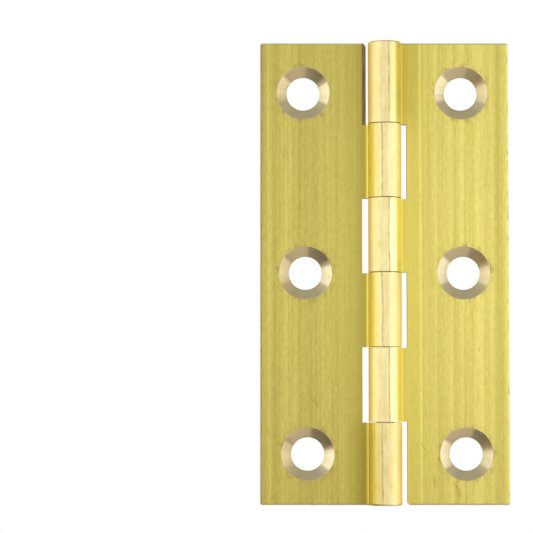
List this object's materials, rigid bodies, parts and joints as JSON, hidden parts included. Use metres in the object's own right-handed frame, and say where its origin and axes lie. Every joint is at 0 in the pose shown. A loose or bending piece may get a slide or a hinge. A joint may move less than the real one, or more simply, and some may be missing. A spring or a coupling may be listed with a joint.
{
  "type": "butt hinge",
  "caption": "Butt hinge in drawn brass: flat leaves with interleaved knuckles turn on a plain pin, each leaf drilled and countersunk for wood screws.",
  "frame": {"origin": "on the pin's axis, half way along the barrel, which is the middle of the hinge opened flat", "axes": "+Z along the pin, upwards as on a hung door; +X across the right leaf; +Y out of the leaves' backs, so the countersunk faces look towards -Y"},
  "size_m": [0.0344, 0.0046, 0.064],
  "materials": {
    "leaf_brass": "as drawn, with milled knuckles and countersinks",
    "pin_brass": "drawn wire, cut and faced"
  },
  "bodies": {
    "fixed_leaf": {"right_leaf": "leaf_brass", "hinge_pin": "pin_brass"},
    "swinging_leaf": {"left_leaf": "leaf_brass"}
  },
  "joints": [
    {"name": "leaf_swing", "type": "hinge", "parent": "fixed_leaf", "child": "swinging_leaf", "pos_m": [0, 0, 0], "axis": [0, 0, 1], "range_deg": [-90, 180]}
  ]
}
